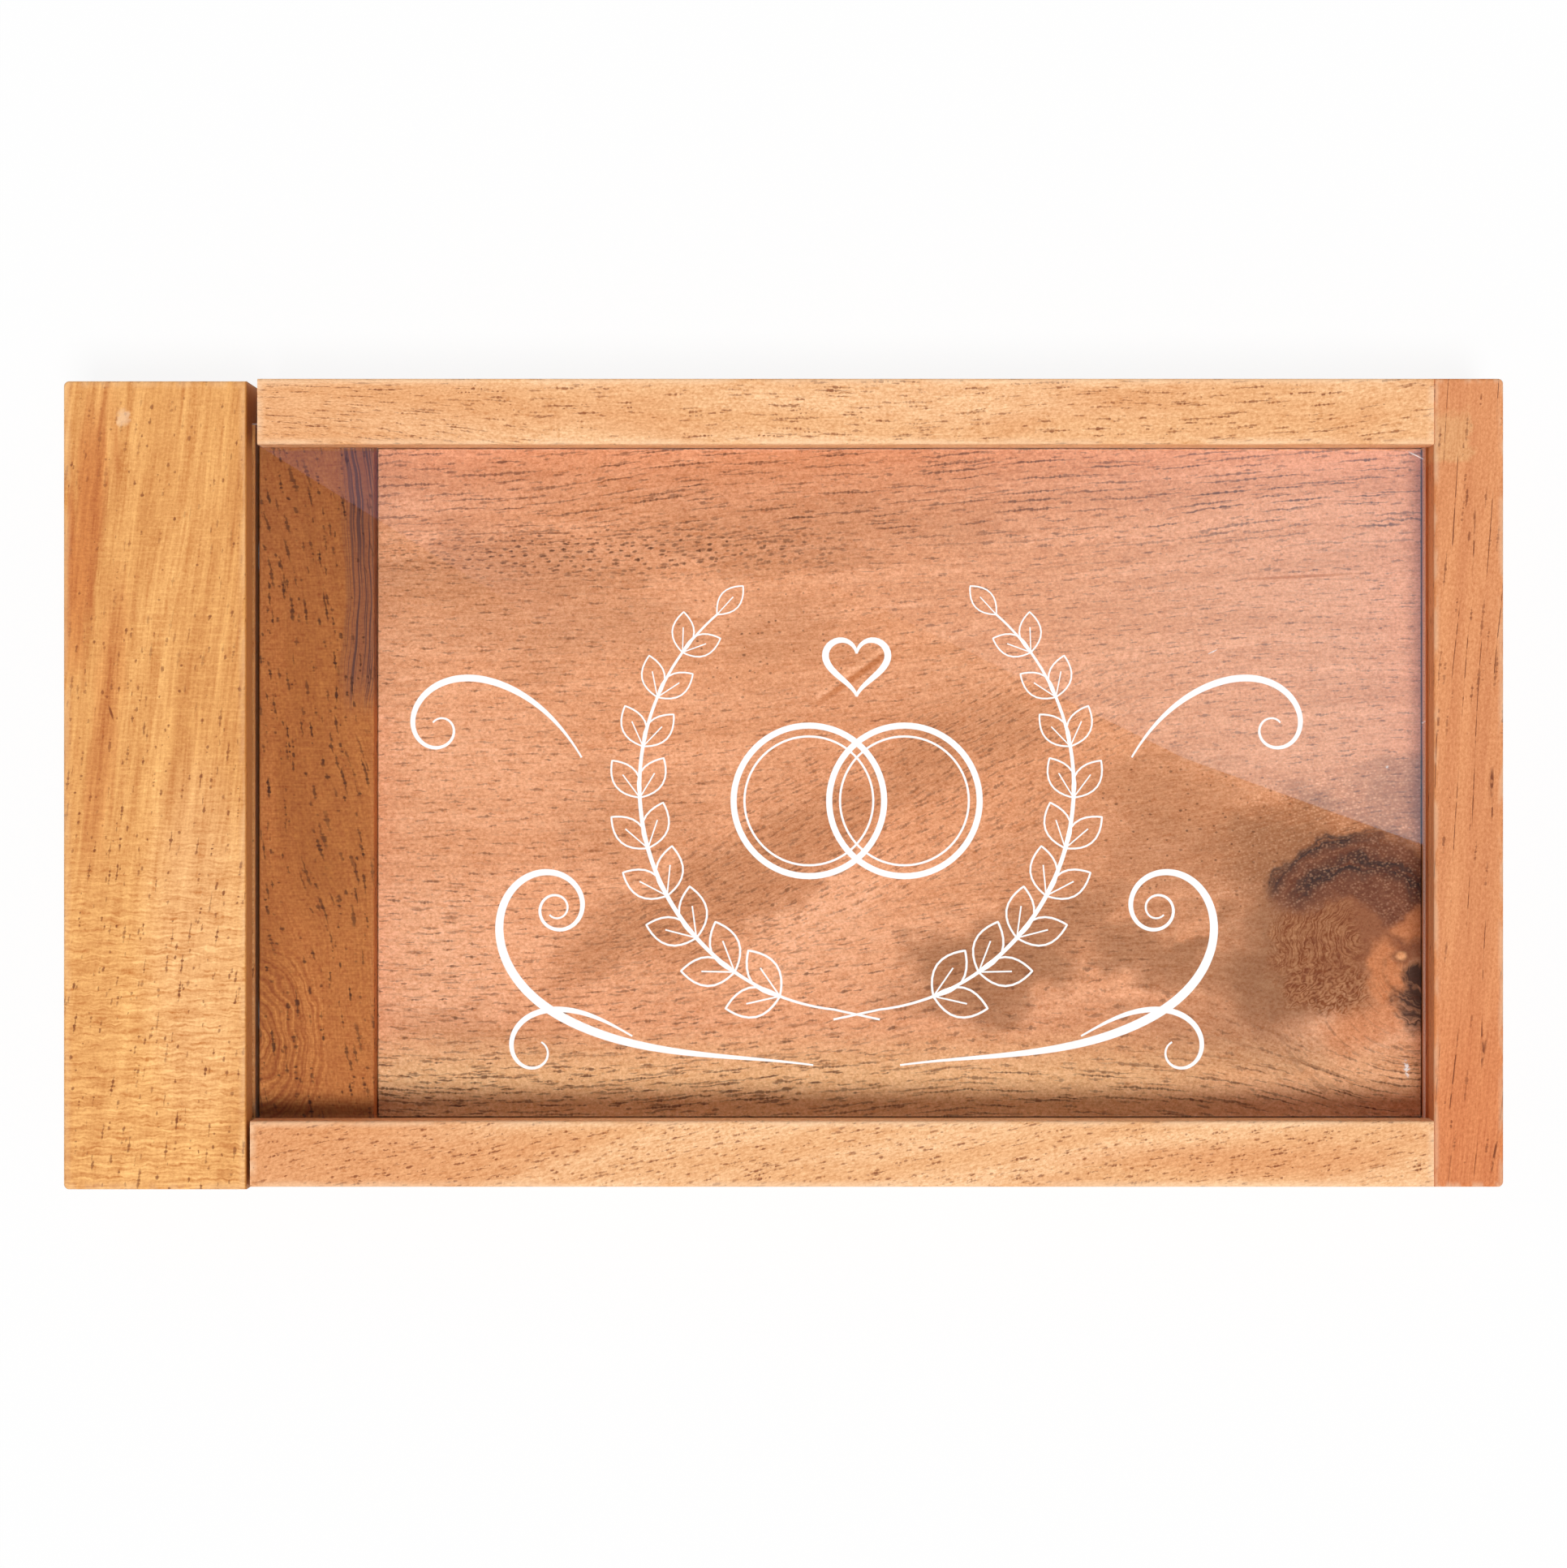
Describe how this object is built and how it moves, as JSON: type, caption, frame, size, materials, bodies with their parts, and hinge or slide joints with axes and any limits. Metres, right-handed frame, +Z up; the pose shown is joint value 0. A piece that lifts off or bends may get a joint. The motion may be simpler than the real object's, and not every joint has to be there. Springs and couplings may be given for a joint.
{
  "type": "money gift box",
  "caption": "Shallow wooden gift box for banknotes with a clear pane in a wide handle block that slides out of grooves in the side rails.",
  "frame": {"origin": "under the middle of the closed box, on the surface that it stands on", "axes": "+X from the handle block to the end wall, +Y across the box to the rear rail, +Z up out of the window"},
  "size_m": [0.197, 0.1109, 0.022],
  "materials": {
    "rail_wood": "light tan wood with short dark pores, oiled",
    "end_wall_wood": "orange-tan wood with long fine dark grain lines, oiled",
    "dowel_wood": "plain beech, glued",
    "cross_wall_wood": "dark brown wood with a curved figure, oiled",
    "floor_wood": "salmon-tan wood with brown bands and long dark pores, oiled",
    "magnet_nickel": "nickel plated",
    "handle_wood": "golden tan wood with reddish streaks and short pores, oiled",
    "clear_acrylic": "clear cast acrylic with a pale sawn edge"
  },
  "bodies": {
    "box": {"rear_rail": "rail_wood", "front_rail": "rail_wood", "end_wall": "end_wall_wood", "corner_dowels": "dowel_wood", "cross_wall": "cross_wall_wood", "floor_panel": "floor_wood", "box_magnets": "magnet_nickel"},
    "lid": {"handle_block": "handle_wood", "acrylic_pane": "clear_acrylic", "lid_magnets": "magnet_nickel"}
  },
  "joints": [
    {"name": "lid_slide", "type": "slide", "parent": "box", "child": "lid", "axis": [-1, 0, 0], "range_m": [0, 0.165]}
  ]
}
